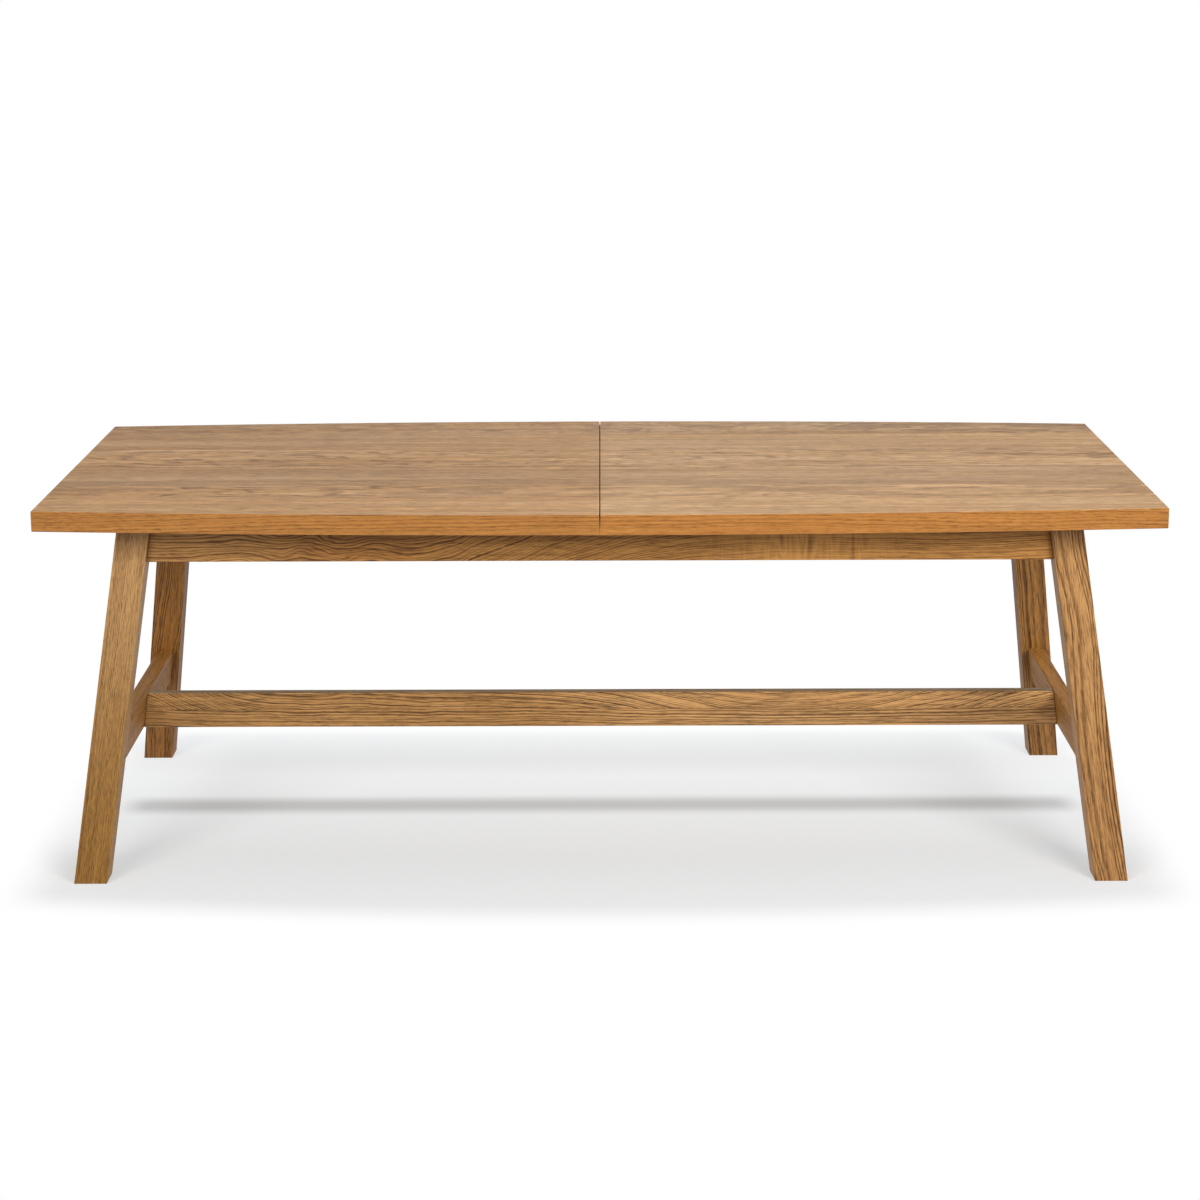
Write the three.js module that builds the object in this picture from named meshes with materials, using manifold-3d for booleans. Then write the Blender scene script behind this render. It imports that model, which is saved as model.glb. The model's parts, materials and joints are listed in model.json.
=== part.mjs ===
// Extendable trestle dining table, closed, standing on z = 0. Millimetres, +Z up, +X along the length.
import * as THREE from "three";
import { mergeVertices } from "three/addons/utils/BufferGeometryUtils.js";
import Module from "manifold-3d";

const wasm = await Module();
wasm.setup();

// ---- driving dimensions -------------------------------------------------
const HEIGHT = 760; // floor to table top
const LENGTH = 2200; // closed length
const END_WIDTH = 980; // width at the straight ends
const MID_WIDTH = 1080; // width at the seam, where the bowed long edges are widest
const TOP_T = 40; // thickness of the top
const LIP = 10; // thickness of the solid edge lippings
const SEAM = 1.2; // gap between the two halves
const TRAVEL = 250; // how far each half slides out
const LEG = 65; // leg section, measured level
const LEG_X = 921, LEG_Y = 288; // where a leg's axis would pierce the table's top plane
const KX = 0.129, KY = 0.208; // splay of every leg: run per unit of height
const BASE_TOP = 719; // top of the legs and aprons, 1 mm under the sliding top
const APRON_T = 25, APRON_BOT = 624; // apron thickness and lower edge
const RAIL_T = 34, RAIL_BOT = 193, RAIL_TOP = 268; // low cross rails
const STRETCHER_T = 28;
const BEARER_W = 70, BEARER_BOT = 668, BEARER_TOP = 688, BEARER_X = 470;
const SLIDE_Y = 248; // centre line of each slide set
const BEAM_T = 24, BEAM_TOP = 718, BEAM_HALF = 520;
const RUNNER_T = 20, RUN_GAP = 0.6, RUNNER_BOT = 689.5;
const RUNNER_OUT = 640, RUNNER_IN = 270; // how far a runner reaches under its own and under the other half
const TEETH = 14, MODULE = 2.4, PITCH_R = (TEETH * MODULE) / 2, PITCH = Math.PI * MODULE;
const TOOTH = 0.2 * PITCH; // half thickness of a tooth at the pitch line
const ADD = 1.7, DED = 2.3, PRESSURE = (20 * Math.PI) / 180;
const LEAF_W = 500, LEAF_BOT = 627; // spare leaf: width, and height of its underside in store
const DOWEL_X = 300; // dowels sit this far from the centre line of the top
const FIT = 0.3; // gap between cut or slanting faces

const UNDER = HEIGHT - TOP_T;
const lx = (z) => LEG_X + KX * (HEIGHT - z);
const ly = (z) => LEG_Y + KY * (HEIGHT - z);
const bow = (x) => MID_WIDTH / 2 - ((MID_WIDTH - END_WIDTH) / 2) * (x / (LENGTH / 2)) ** 2;

// ---- materials ----------------------------------------------------------
const mat = (color, roughness, metalness = 0) => new THREE.MeshStandardMaterial({ color, roughness, metalness });
const topOak = mat(0xc39c6d, 0.55);
const edgeOak = mat(0xb87a41, 0.5);
const legOak = mat(0xa27645, 0.55);
const railOak = mat(0x96693a, 0.55);
const innerWood = mat(0xb99a6f, 0.7);
const steel = mat(0x9a9c9e, 0.35, 1);
const nylon = mat(0xd9d6cb, 0.45);
const brass = mat(0xb08d4a, 0.35, 1);

// ---- helpers ------------------------------------------------------------
const group = new THREE.Group();
function add(name, geometry, material) {
  const mesh = new THREE.Mesh(geometry, material.clone());
  mesh.name = name;
  group.add(mesh);
  return mesh;
}
// Prism of a closed outline [[u, v], ...] between two planes a < b along an axis:
// along z the outline is in (x, y), along y in (x, z), along x in (y, z).
function prism(axis, pts, a, b) {
  const shape = new THREE.Shape(pts.map(([u, v]) => new THREE.Vector2(u, v)));
  const g = new THREE.ExtrudeGeometry(shape, { depth: b - a, bevelEnabled: false, steps: 1 });
  if (axis === "z") return g.translate(0, 0, a);
  if (axis === "y") return g.rotateX(Math.PI / 2).translate(0, b, 0);
  const m = new THREE.Matrix4().makeBasis(new THREE.Vector3(0, 1, 0), new THREE.Vector3(0, 0, 1), new THREE.Vector3(1, 0, 0));
  return g.applyMatrix4(m).translate(a, 0, 0);
}
const box = (x0, x1, y0, y1, z0, z1) =>
  new THREE.BoxGeometry(x1 - x0, y1 - y0, z1 - z0).translate((x0 + x1) / 2, (y0 + y1) / 2, (z0 + z1) / 2);
// Leans a geometry: x and y move by kx and ky for each unit of height below the table top.
function lean(g, kx, ky) {
  const p = g.attributes.position;
  for (let i = 0; i < p.count; i++) {
    const h = HEIGHT - p.getZ(i);
    p.setX(i, p.getX(i) + kx * h);
    p.setY(i, p.getY(i) + ky * h);
  }
  g.computeVertexNormals();
  return g;
}
// Cylinder between two points.
function rod(from, to, radius, sides = 16) {
  const a = new THREE.Vector3(...from), b = new THREE.Vector3(...to);
  const g = new THREE.CylinderGeometry(radius, radius, a.distanceTo(b), sides);
  const q = new THREE.Quaternion().setFromUnitVectors(new THREE.Vector3(0, 1, 0), b.clone().sub(a).normalize());
  return g.applyQuaternion(q).translate((a.x + b.x) / 2, (a.y + b.y) / 2, (a.z + b.z) / 2);
}
function solid(g) {
  let c = g.clone();
  c.deleteAttribute("normal");
  c.deleteAttribute("uv");
  c = mergeVertices(c, 1e-4);
  return new wasm.Manifold(new wasm.Mesh({
    numProp: 3,
    vertProperties: new Float32Array(c.attributes.position.array),
    triVerts: new Uint32Array(c.index.array),
  }));
}
function geometryOf(s) {
  const m = s.getMesh();
  const g = new THREE.BufferGeometry();
  g.setAttribute("position", new THREE.BufferAttribute(new Float32Array(m.vertProperties), 3));
  g.setIndex(new THREE.BufferAttribute(new Uint32Array(m.triVerts), 1));
  g.computeVertexNormals();
  return g;
}
const cut = (g, ...tools) => geometryOf(tools.reduce((s, t) => s.subtract(solid(t)), solid(g)));
const join = (g, ...more) => geometryOf(more.reduce((s, t) => s.add(solid(t)), solid(g)));
const SIDES = [["left", -1], ["right", 1]];
const ENDS = [["front", -1], ["rear", 1]];

// ---- legs, corner blocks and hanger bolts -------------------------------
const BOLT_Z = 662;
for (const [fr, sy] of ENDS)
  for (const [lr, sx] of SIDES) {
    const cx = sx * lx(BOLT_Z), cy = sy * ly(BOLT_Z);
    const along = (d) => [cx - sx * d, cy - sy * d, BOLT_Z]; // d millimetres inwards on both axes
    const leg = lean(box(sx * LEG_X - LEG / 2, sx * LEG_X + LEG / 2, sy * LEG_Y - LEG / 2, sy * LEG_Y + LEG / 2, 0, BASE_TOP), sx * KX, sy * KY);
    add(`leg_${fr}_${lr}`, cut(leg, rod(along(12), along(60), 4.4)), legOak);
    // Block set across the corner, its ends cut to the faces of the apron and the end rail.
    const e = APRON_T / 2 + FIT;
    let plan = [[-92, -e], [-54.5, -e], [-e, -54.5], [-e, -92]].map(([x, y]) => [sx * (LEG_X + x), sy * (LEG_Y + y)]);
    if (sx * sy < 0) plan.reverse();
    const block = lean(prism("z", plan, 640, 684), sx * KX, sy * KY);
    add(`corner_block_${fr}_${lr}`, cut(block, rod(along(20), along(90), 4.4), rod(along(49), along(90), 12, 24)), innerWood); // spot-faced for the washer
    const stud = rod(along(13.5), along(60), 4, 12);
    const washer = rod(along(49.3), along(50.7), 10, 20);
    const nut = rod(along(50.5), along(56), 7.5, 6);
    add(`corner_bolt_${fr}_${lr}`, join(stud, washer, nut), steel);
  }

// ---- aprons, rails, stretcher -------------------------------------------
const between = (half, z0, z1) => [[-half(z0), z0], [half(z0), z0], [half(z1), z1], [-half(z1), z1]];
const legInX = (z) => lx(z) - LEG / 2 - FIT;
const legInY = (z) => ly(z) - LEG / 2 - FIT;
for (const [fr, sy] of ENDS)
  add(`apron_${fr}`, lean(prism("y", between(legInX, APRON_BOT, BASE_TOP), sy * LEG_Y - APRON_T / 2, sy * LEG_Y + APRON_T / 2), 0, sy * KY), railOak);
for (const [lr, sx] of SIDES) {
  add(`end_rail_${lr}`, lean(prism("x", between(legInY, APRON_BOT, BASE_TOP), sx * LEG_X - APRON_T / 2, sx * LEG_X + APRON_T / 2), sx * KX, 0), railOak);
  add(`cross_rail_${lr}`, lean(prism("x", between(legInY, RAIL_BOT, RAIL_TOP), sx * LEG_X - RAIL_T / 2, sx * LEG_X + RAIL_T / 2), sx * KX, 0), railOak);
}
add("stretcher", prism("y", between((z) => lx(z) - RAIL_T / 2 - FIT, RAIL_BOT, RAIL_TOP), -STRETCHER_T / 2, STRETCHER_T / 2), railOak);

// ---- cross bearers --------------------------------------------------------
const bearerIn = (z) => ly(z) - APRON_T / 2 - FIT;
for (const [name, x] of [["left", -BEARER_X], ["centre", 0], ["right", BEARER_X]]) {
  const g = prism("x", between(bearerIn, BEARER_BOT, BEARER_TOP), x - BEARER_W / 2, x + BEARER_W / 2);
  add(`bearer_${name}`, x === 0 ? cut(g, ...ENDS.map(([, s]) => rod([0, s * SLIDE_Y, 676], [0, s * SLIDE_Y, 700], 3.3))) : g, innerWood);
}

// ---- extension slides -----------------------------------------------------
const inv = (a) => Math.tan(a) - a;
function pinionOutline() {
  const base = PITCH_R * Math.cos(PRESSURE), pts = [];
  const half = (r) => TOOTH / PITCH_R + inv(PRESSURE) - (r > base ? inv(Math.acos(base / r)) : 0);
  const radii = [PITCH_R - DED, base, PITCH_R, PITCH_R + ADD];
  for (let i = 0; i < TEETH; i++) {
    const mid = Math.PI / 2 + (2 * Math.PI * i) / TEETH; // a tooth stands on each side, towards the racks
    for (const r of radii) pts.push([r * Math.cos(mid - half(r)), r * Math.sin(mid - half(r))]);
    for (const r of [...radii].reverse()) pts.push([r * Math.cos(mid + half(r)), r * Math.sin(mid + half(r))]);
  }
  return pts;
}
const t = Math.tan(PRESSURE);
// Rack with its teeth towards -v, pitch line at v = PITCH_R from the slide's centre line.
function rackOutline() {
  const pts = [[-16, PITCH_R + DED + 3.5], [-16, PITCH_R + DED]];
  for (let k = -2; k <= 33; k++) {
    const c = (k + 0.5) * PITCH;
    pts.push([c - TOOTH - DED * t, PITCH_R + DED], [c - TOOTH + ADD * t, PITCH_R - ADD], [c + TOOTH - ADD * t, PITCH_R - ADD], [c + TOOTH + DED * t, PITCH_R + DED]);
  }
  pts.push([266, PITCH_R + DED], [266, PITCH_R + DED + 3.5]);
  return pts;
}
for (const [fr, sy] of ENDS) {
  const yc = sy * SLIDE_Y;
  const h = BEAM_T / 2;
  // Fixed beam: a groove along each side takes the runners' tongues, a pocket from below takes the pinion.
  const section = [[-h, BEARER_TOP], [h, BEARER_TOP], [h, 702], [h - 6, 702], [h - 6, 710], [h, 710], [h, BEAM_TOP], [-h, BEAM_TOP], [-h, 710], [-h + 6, 710], [-h + 6, 702], [-h, 702]];
  const beam = prism("x", section.map(([u, v]) => [u + yc, v]), -BEAM_HALF, BEAM_HALF);
  add(`slide_beam_${fr}`, cut(beam, rod([0, yc, 680], [0, yc, 700], 20, 32), rod([0, yc, 690], [0, yc, 714], 3.3)), innerWood);
  add(`pinion_axle_${fr}`, join(rod([0, yc, 677], [0, yc, 713], 3, 16), rod([0, yc, 688.4], [0, yc, 690], 5.5, 20)), steel);
  add(`pinion_${fr}`, cut(prism("z", pinionOutline().map(([x, y]) => [x, y + yc]), 690.5, 697.5), rod([0, yc, 680], [0, yc, 710], 3.4, 20)), nylon);
  for (const [lr, sx] of SIDES) {
    // The left half's runners are the outer ones, the right half's the inner ones.
    const s = lr === "left" ? sy : -sy;
    const i = h + RUN_GAP, o = i + RUNNER_T, rebate = PITCH_R + DED + 3.5 + FIT;
    let run = [[rebate, RUNNER_BOT], [o, RUNNER_BOT], [o, UNDER], [i, UNDER], [i, 709.4], [i - 6, 709.4], [i - 6, 702.6], [i, 702.6], [i, 699.5], [rebate, 699.5]];
    run = run.map(([u, v]) => [s * u + yc, v]);
    if (s < 0) run.reverse();
    const x0 = sx < 0 ? -RUNNER_OUT : -RUNNER_IN, x1 = sx < 0 ? RUNNER_IN : RUNNER_OUT;
    const relief = sx < 0 ? box(-30, 300, yc - 60, yc + 60, BEAM_TOP, 730) : box(-300, 30, yc - 60, yc + 60, BEAM_TOP, 730);
    add(`runner_${fr}_${lr}`, cut(prism("x", run, x0, x1), relief), innerWood);
    let rack = rackOutline().map(([u, v]) => [-sx * u, s * v + yc]);
    if (-sx * s < 0) rack.reverse();
    add(`rack_${fr}_${lr}`, prism("z", rack, 690.3, 698.3), nylon);
  }
}

// ---- the two halves of the top ---------------------------------------------
const STEPS = 16;
const curve = (sx, sy, inset, x0, x1) => {
  const out = [];
  for (let i = 0; i <= STEPS; i++) {
    const x = x0 + ((x1 - x0) * i) / STEPS;
    out.push([sx * x, sy * (bow(x) - inset)]);
  }
  return out;
};
for (const [lr, sx] of SIDES) {
  const x0 = SEAM / 2, x1 = LENGTH / 2;
  let plan = [...curve(sx, -1, LIP + 0.1, x0, x1 - LIP), ...curve(sx, 1, LIP + 0.1, x0, x1 - LIP).reverse()];
  if (sx < 0) plan.reverse();
  const sockets = [-1, 1].map((s) => rod([sx * -2, s * DOWEL_X, HEIGHT - TOP_T / 2], [sx * 15, s * DOWEL_X, HEIGHT - TOP_T / 2], 5));
  add(`top_panel_${lr}`, cut(prism("z", plan, UNDER, HEIGHT), ...sockets), topOak);
  for (const [fr, sy] of ENDS) {
    let edge = [...curve(sx, sy, 0, x0, x1), ...curve(sx, sy, LIP, x0, x1).reverse()];
    if (sx * sy > 0) edge.reverse();
    add(`lipping_${fr}_${lr}`, prism("z", edge, UNDER, HEIGHT), edgeOak);
  }
  const cap = (x) => bow(x) - LIP - FIT;
  const end = [[sx * (x1 - LIP), -cap(x1 - LIP)], [sx * x1, -cap(x1)], [sx * x1, cap(x1)], [sx * (x1 - LIP), cap(x1 - LIP)]];
  if (sx < 0) end.reverse();
  add(`lipping_end_${lr}`, prism("z", end, UNDER, HEIGHT), edgeOak);
}
for (const [fr, sy] of ENDS)
  add(`dowel_${fr}`, rod([-14, sy * DOWEL_X, HEIGHT - TOP_T / 2], [12, sy * DOWEL_X, HEIGHT - TOP_T / 2], 4.6, 14), innerWood);

// ---- spare leaf, its dowels, ledges and turn buttons ------------------------
const leafZ = LEAF_BOT + TOP_T / 2, leafY = LEAF_W / 2;
const bores = [-1, 1].flatMap((s) => [
  rod([s * DOWEL_X, -leafY - 2, leafZ], [s * DOWEL_X, -leafY + 15, leafZ], 5),
  rod([s * DOWEL_X, leafY + 2, leafZ], [s * DOWEL_X, leafY - 15, leafZ], 5),
]);
add("leaf", cut(box(-MID_WIDTH / 2, MID_WIDTH / 2, -leafY, leafY, LEAF_BOT, LEAF_BOT + TOP_T), ...bores), topOak);
for (const [lr, sx] of SIDES)
  add(`leaf_dowel_${lr}`, rod([sx * DOWEL_X, -leafY + 14, leafZ], [sx * DOWEL_X, -leafY - 12, leafZ], 4.6, 14), innerWood);
const BUTTON_X = 380, BUTTON_Y = -leafY - 25;
add("leaf_ledge_rear", prism("x", [[leafY - 14, 621], [leafY + 28, 621], [leafY + 28, BEARER_BOT], [leafY + 2, BEARER_BOT], [leafY + 2, LEAF_BOT], [leafY - 14, LEAF_BOT]], -560, 560), innerWood);
add("leaf_ledge_front", cut(box(-560, 560, -leafY - 39, -leafY - 15, LEAF_BOT, BEARER_BOT), ...[-1, 1].map((s) => rod([s * BUTTON_X, BUTTON_Y, 620], [s * BUTTON_X, BUTTON_Y, 650], 2.4, 12))), innerWood);
for (const [lr, sx] of SIDES) {
  const outline = [], r = 9, reach = 44;
  for (let i = 0; i <= 8; i++) outline.push([sx * BUTTON_X + r * Math.cos(Math.PI + (Math.PI * i) / 8), BUTTON_Y + r * Math.sin(Math.PI + (Math.PI * i) / 8)]);
  for (let i = 0; i <= 8; i++) outline.push([sx * BUTTON_X + r * Math.cos((Math.PI * i) / 8), BUTTON_Y + reach - r + r * Math.sin((Math.PI * i) / 8)]);
  add(`turn_button_${lr}`, cut(prism("z", outline, 620, 626.5), rod([sx * BUTTON_X, BUTTON_Y, 610], [sx * BUTTON_X, BUTTON_Y, 630], 2.5, 12)), brass);
  add(`button_screw_${lr}`, join(rod([sx * BUTTON_X, BUTTON_Y, 617], [sx * BUTTON_X, BUTTON_Y, 648], 2.1, 12), rod([sx * BUTTON_X, BUTTON_Y, 616.6], [sx * BUTTON_X, BUTTON_Y, 619.6], 4.6, 16)), steel);
}

// ---- latch under the seam ----------------------------------------------------
const PIVOT_X = -35, POST_X = 22;
add("latch_base", join(box(-62, -12, -18, 18, 716.8, UNDER), rod([PIVOT_X, 0, 706], [PIVOT_X, 0, 717.5], 3, 16), rod([PIVOT_X, 0, 705], [PIVOT_X, 0, 708], 7, 20)), steel);
add("latch_keeper", join(box(8, 44, -16, 16, 716.8, UNDER), rod([POST_X, 0, 706.5], [POST_X, 0, 717.5], 3.5, 16)), steel);
{
  // Hook lever, drawn engaged along +x from its pivot, then swung back to lie along the seam.
  const reach = POST_X - PIVOT_X;
  const outline = [[-12, -9], [reach + 12, -9], [reach + 12, 9], [reach + 4.6, 9], [reach + 4.6, -4.2], [reach - 5.6, -4.2], [reach - 5.6, 9], [-12, 9]];
  const plate = prism("z", outline, 709.5, 713.5);
  const knob = rod([-4 + reach - 14, 0, 694], [-4 + reach - 14, 0, 710], 5, 16);
  const lever = cut(join(plate, knob), rod([0, 0, 700], [0, 0, 720], 3.4, 20));
  add("latch_lever", lever.rotateZ(-Math.PI / 2).translate(PIVOT_X, 0, 0), brass);
}

export default group;
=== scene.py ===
import json
import math

import bmesh
import bpy
from mathutils import Matrix, Vector


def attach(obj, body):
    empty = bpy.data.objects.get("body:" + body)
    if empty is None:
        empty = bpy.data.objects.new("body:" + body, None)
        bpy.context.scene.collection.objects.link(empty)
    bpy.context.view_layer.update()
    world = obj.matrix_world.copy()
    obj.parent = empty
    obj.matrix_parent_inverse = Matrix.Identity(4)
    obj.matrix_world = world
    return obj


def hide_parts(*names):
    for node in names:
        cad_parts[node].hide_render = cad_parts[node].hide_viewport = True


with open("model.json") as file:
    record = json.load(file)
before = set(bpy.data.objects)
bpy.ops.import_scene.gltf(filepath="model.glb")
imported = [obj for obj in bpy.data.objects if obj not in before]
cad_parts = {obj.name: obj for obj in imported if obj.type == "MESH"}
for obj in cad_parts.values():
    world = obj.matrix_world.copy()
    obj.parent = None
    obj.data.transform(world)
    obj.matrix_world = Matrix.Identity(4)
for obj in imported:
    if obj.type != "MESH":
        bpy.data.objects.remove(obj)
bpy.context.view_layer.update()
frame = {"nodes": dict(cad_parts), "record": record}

SCENE = bpy.context.scene
MM = 0.001

# ------------------------------------------------------------------ shape
LENGTH, END_W, MID_W, TOP_Z, UNDER_Z, LIP = 2.2, 0.98, 1.08, 0.76, 0.72, 0.01
KX, KY, LEG_X, LEG_Y = 0.129, 0.208, 0.921, 0.288
GROOVES = {"lipping_front": 0.7345, "lipping_rear": 0.7570, "top_panel": 0.7500}  # how far down the seam stands open, by piece


def bow(x):
    return MID_W / 2 - (MID_W - END_W) / 2 * (x / (LENGTH / 2)) ** 2


def body_of(node):
    for name, nodes in frame["record"]["behaviour"]["bodies"].items():
        if node in nodes:
            return name
    raise SystemExit("no body for " + node)


def finish_mesh(bm, name, sharp=38.0):
    mesh = bpy.data.meshes.new(name)
    for f in bm.faces:
        f.smooth = True
    bm.to_mesh(mesh)
    bm.free()
    mesh.set_sharp_from_angle(angle=math.radians(sharp))
    ob = bpy.data.objects.new(name, mesh)
    SCENE.collection.objects.link(ob)
    m = ob.modifiers.new("weighted", "WEIGHTED_NORMAL")
    m.keep_sharp = True
    return ob


def fresh(node):
    """A clean copy of a CAD node's solid: merged, with its flat faces whole again."""
    bm = bmesh.new()
    bm.from_mesh(frame["nodes"][node].data)
    bmesh.ops.remove_doubles(bm, verts=bm.verts, dist=2e-6)
    bmesh.ops.dissolve_limit(bm, angle_limit=0.0015, verts=bm.verts, edges=bm.edges)
    floor_z = GROOVES.get(node.rsplit("_", 1)[0])
    if floor_z:
        # the meeting edges touch, but for a fine groove along the top
        bmesh.ops.bisect_plane(bm, geom=bm.verts[:] + bm.edges[:] + bm.faces[:], dist=1e-6, plane_co=(0, 0, floor_z), plane_no=(0, 0, 1))
        for v in bm.verts:
            if abs(v.co.x) < 8e-4:
                v.co.x = math.copysign(2e-6 + 1.2e-3 * max(0.0, v.co.z - floor_z) / (TOP_Z - floor_z), v.co.x)
    return bm


def ease(node, width, segments=3, where=None, name=None, least=25.0):
    """The node as a piece of its own with its arrises eased. where(a, b) picks the edges by their two ends."""
    bm = fresh(node)
    edges = []
    for e in bm.edges:
        if len(e.link_faces) != 2:
            continue
        if math.degrees(e.calc_face_angle(0.0)) < least:
            continue
        if where is None or where(e.verts[0].co, e.verts[1].co):
            edges.append(e)
    if edges:
        bmesh.ops.bevel(bm, geom=edges, offset=width, offset_type="OFFSET", segments=segments, profile=0.5, affect="EDGES", clamp_overlap=True)
    ob = finish_mesh(bm, name or node + "_piece")
    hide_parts(node)
    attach(ob, body_of(node))
    return ob


# ------------------------------------------------------------------ materials
def lin(*rgb):
    out = []
    for v in rgb:
        v = v / 255.0
        out.append(v / 12.92 if v <= 0.04045 else ((v + 0.055) / 1.055) ** 2.4)
    return (*out, 1.0)


class Tree:
    def __init__(self, name):
        self.mat = bpy.data.materials.new(name)
        self.mat.use_nodes = True
        self.nt = self.mat.node_tree
        self.nt.nodes.clear()
        self.out = self.nt.nodes.new("ShaderNodeOutputMaterial")
        self.bsdf = self.nt.nodes.new("ShaderNodeBsdfPrincipled")
        self.nt.links.new(self.bsdf.outputs[0], self.out.inputs[0])

    def put(self, socket, value):
        if isinstance(value, bpy.types.NodeSocket):
            self.nt.links.new(value, socket)
        elif value is not None:
            socket.default_value = value

    def math(self, op, a, b=None, c=None, clamp=False):
        n = self.nt.nodes.new("ShaderNodeMath")
        n.operation, n.use_clamp = op, clamp
        for s, v in zip(n.inputs, (a, b, c)):
            self.put(s, v)
        return n.outputs[0]

    def vmath(self, op, a, b=None):
        n = self.nt.nodes.new("ShaderNodeVectorMath")
        n.operation = op
        for s, v in zip(n.inputs, (a, b)):
            self.put(s, v)
        return n.outputs[1] if op in ("LENGTH", "DOT_PRODUCT", "DISTANCE") else n.outputs[0]

    def xyz(self, x, y, z):
        n = self.nt.nodes.new("ShaderNodeCombineXYZ")
        for s, v in zip(n.inputs, (x, y, z)):
            self.put(s, v)
        return n.outputs[0]

    def split(self, v):
        n = self.nt.nodes.new("ShaderNodeSeparateXYZ")
        self.put(n.inputs[0], v)
        return n.outputs

    def noise(self, vec, detail=2.0, rough=0.5, dims="3D", w=None, distortion=0.0):
        n = self.nt.nodes.new("ShaderNodeTexNoise")
        n.noise_dimensions = dims
        if dims != "1D":
            self.put(n.inputs["Vector"], vec)
        if w is not None:
            self.put(n.inputs["W"], w)
        n.inputs["Scale"].default_value = 1.0
        n.inputs["Detail"].default_value = detail
        n.inputs["Roughness"].default_value = rough
        n.inputs["Distortion"].default_value = distortion
        return n.outputs[0]

    def white(self, w):
        n = self.nt.nodes.new("ShaderNodeTexWhiteNoise")
        n.noise_dimensions = "1D"
        self.put(n.inputs["W"], w)
        return n.outputs[0]

    def curve(self, fac, stops, mode="LINEAR"):
        """A ramp of plain numbers, or of colours where a stop has three."""
        n = self.nt.nodes.new("ShaderNodeValToRGB")
        self.put(n.inputs[0], fac)
        r = n.color_ramp
        r.interpolation = mode
        while len(r.elements) > 1:
            r.elements.remove(r.elements[-1])
        for i, (p, v) in enumerate(stops):
            e = r.elements[0] if i == 0 else r.elements.new(p)
            e.position = p
            e.color = (*v[:3], 1.0) if isinstance(v, (tuple, list)) else (v, v, v, 1.0)
        return n.outputs[0]

    def ramp4(self, fac, stops, mode):
        n = self.nt.nodes.new("ShaderNodeValToRGB")
        self.put(n.inputs[0], fac)
        r = n.color_ramp
        r.interpolation = mode
        while len(r.elements) > 1:
            r.elements.remove(r.elements[-1])
        for i, (p, v) in enumerate(stops):
            e = r.elements[0] if i == 0 else r.elements.new(p)
            e.position = p
            e.color = v
        return n.outputs[0], n.outputs[1]

    def mix(self, fac, a, b, blend="MIX"):
        n = self.nt.nodes.new("ShaderNodeMix")
        n.data_type, n.blend_type = "RGBA", blend
        ins = [s for s in n.inputs if s.type == "RGBA"]
        self.put(n.inputs[0], fac)
        self.put(ins[0], a)
        self.put(ins[1], b)
        return [s for s in n.outputs if s.type == "RGBA"][0]

    def local(self, origin, axes):
        """Object coordinates turned into a piece's own frame: x along the grain."""
        tc = self.nt.nodes.new("ShaderNodeTexCoord")
        m = self.nt.nodes.new("ShaderNodeMapping")
        m.vector_type = "TEXTURE"
        self.nt.links.new(tc.outputs["Object"], m.inputs["Vector"])
        m.inputs["Location"].default_value = origin
        m.inputs["Rotation"].default_value = Matrix([Vector(a) for a in axes]).transposed().to_euler("XYZ")
        return m.outputs[0]


def step(t, v, edge, sharp=4000.0):
    """1 where v is above edge, 0 below, with a hair's width between."""
    return t.math("MULTIPLY_ADD", t.math("SUBTRACT", v, edge), sharp, 0.5, clamp=True)


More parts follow.
